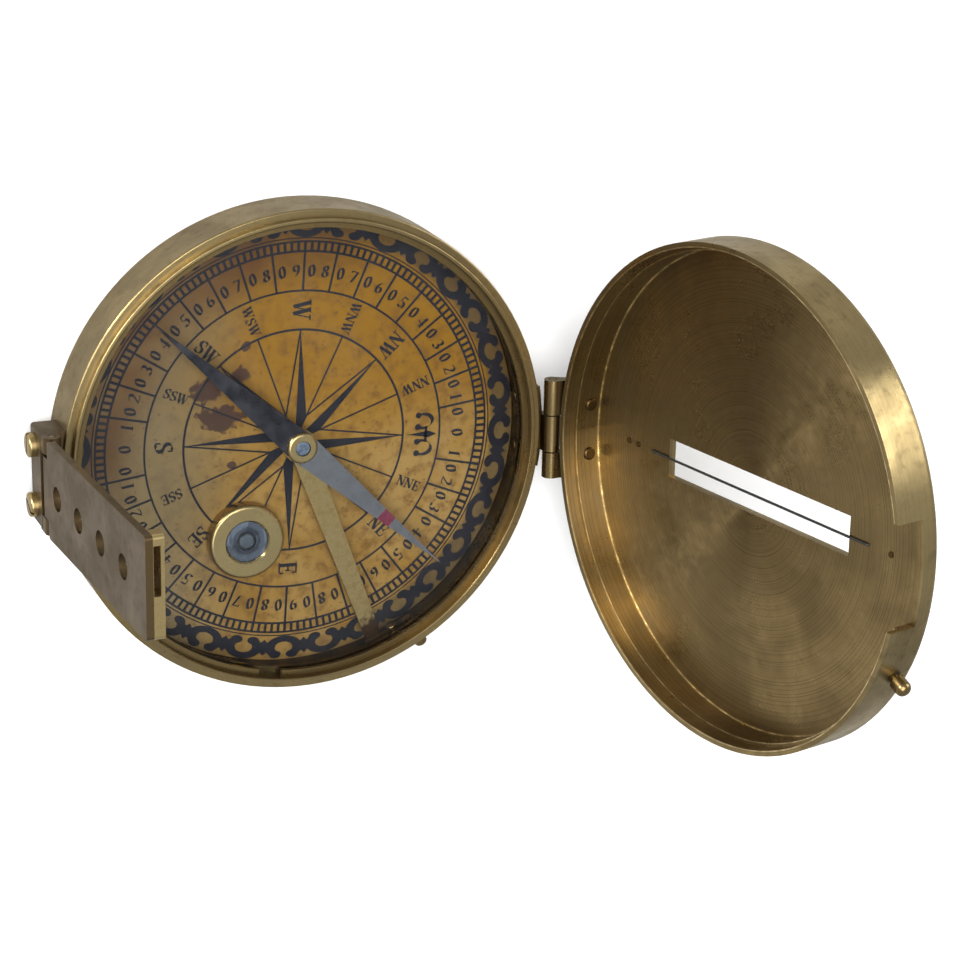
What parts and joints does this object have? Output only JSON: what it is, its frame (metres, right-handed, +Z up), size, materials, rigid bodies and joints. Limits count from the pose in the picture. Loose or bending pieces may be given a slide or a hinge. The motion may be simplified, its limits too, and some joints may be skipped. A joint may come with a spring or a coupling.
{
  "type": "sighting compass",
  "caption": "Pocket sighting compass in a round brass case, with a hinged slotted lid, sight wire, folding vane and bull's-eye level.",
  "frame": {"origin": "centre of the case's flat base", "axes": "+Z up out of the dial, +X towards the lid hinge, -X towards the sight vane"},
  "size_m": [0.1077, 0.076, 0.0841],
  "materials": {
    "case_brass": "satin, lightly tarnished",
    "lid_brass": "turned and tarnished",
    "fitting_brass": "satin",
    "bright_brass": "polished, worn",
    "dark_brass": "dull",
    "vane_brass": "grey-brown tarnish",
    "steel": "satin",
    "needle_steel": "blue-grey, with a maroon band",
    "card": "aged printed paper",
    "black_wire": "black",
    "jewel": "polished",
    "fluid": "clear",
    "bubble": "clear",
    "clear_glass": "clear"
  },
  "bodies": {
    "case": {"case_body": "case_brass", "dial_plate": "case_brass", "dial_card": "card", "pivot_post": "fitting_brass", "pivot_point": "steel", "level_housing": "bright_brass", "level_fluid": "fluid", "level_bubble": "bubble", "level_glass": "clear_glass", "fulcrum_bracket": "fitting_brass", "fulcrum_pin": "steel", "glass_seat_ring": "fitting_brass", "cover_glass": "clear_glass", "glass_snap_ring": "fitting_brass", "rocker_rivet": "fitting_brass", "case_hinge_leaf": "fitting_brass", "case_hinge_rivets": "dark_brass", "hinge_pin": "fitting_brass", "vane_bracket": "vane_brass", "bracket_screws": "bright_brass", "vane_hinge_pin": "fitting_brass"},
    "lid": {"lid_shell": "lid_brass", "lid_hinge_leaf": "fitting_brass", "lid_hinge_rivets": "dark_brass", "sight_wire": "black_wire", "wire_pegs": "fitting_brass", "lid_face_pins": "dark_brass", "lid_stud": "fitting_brass"},
    "vane": {"vane_plate": "vane_brass", "tip_sight": "bright_brass"},
    "needle_carrier": {"needle_jewel": "jewel"},
    "needle": {"needle": "needle_steel", "needle_cap": "bright_brass"},
    "lifter": {"lifter_bar": "bright_brass"},
    "lock": {"lock_rocker": "fitting_brass", "lock_stud": "fitting_brass"}
  },
  "joints": [
    {"name": "lid_hinge", "type": "hinge", "parent": "case", "child": "lid", "pos_m": [0.03995, 0, 0.0091], "axis": [0, 1, 0], "range_deg": [-103.5, 76.5]},
    {"name": "vane_hinge", "type": "hinge", "parent": "case", "child": "vane", "pos_m": [-0.0397, 0, 0.0102], "axis": [0, 1, 0], "range_deg": [-3.6, 86.4]},
    {"name": "lock_turn", "type": "hinge", "parent": "case", "child": "lock", "pos_m": [0.01516, -0.03193, 0.0054], "axis": [0.4289, -0.9033, 0], "range_deg": [0, 8]},
    {"name": "lifter_tilt", "type": "hinge", "parent": "case", "child": "lifter", "pos_m": [0.00691, -0.01877, 0.00395], "axis": [0.9385, 0.3453, 0], "range_deg": [0, 1.8]},
    {"name": "needle_lift", "type": "slide", "parent": "case", "child": "needle_carrier", "axis": [0, 0, 1], "range_m": [0, 0.00045]},
    {"name": "needle_spin", "type": "hinge", "parent": "needle_carrier", "child": "needle", "pos_m": [0, 0, 0.00555], "axis": [0, 0, 1], "continuous": true}
  ],
  "couplings": [
    {"joint": "lifter_tilt", "follows": "needle_lift", "rad_per_m": 69.81},
    {"joint": "lock_turn", "follows": "needle_lift", "rad_per_m": 310.26}
  ]
}
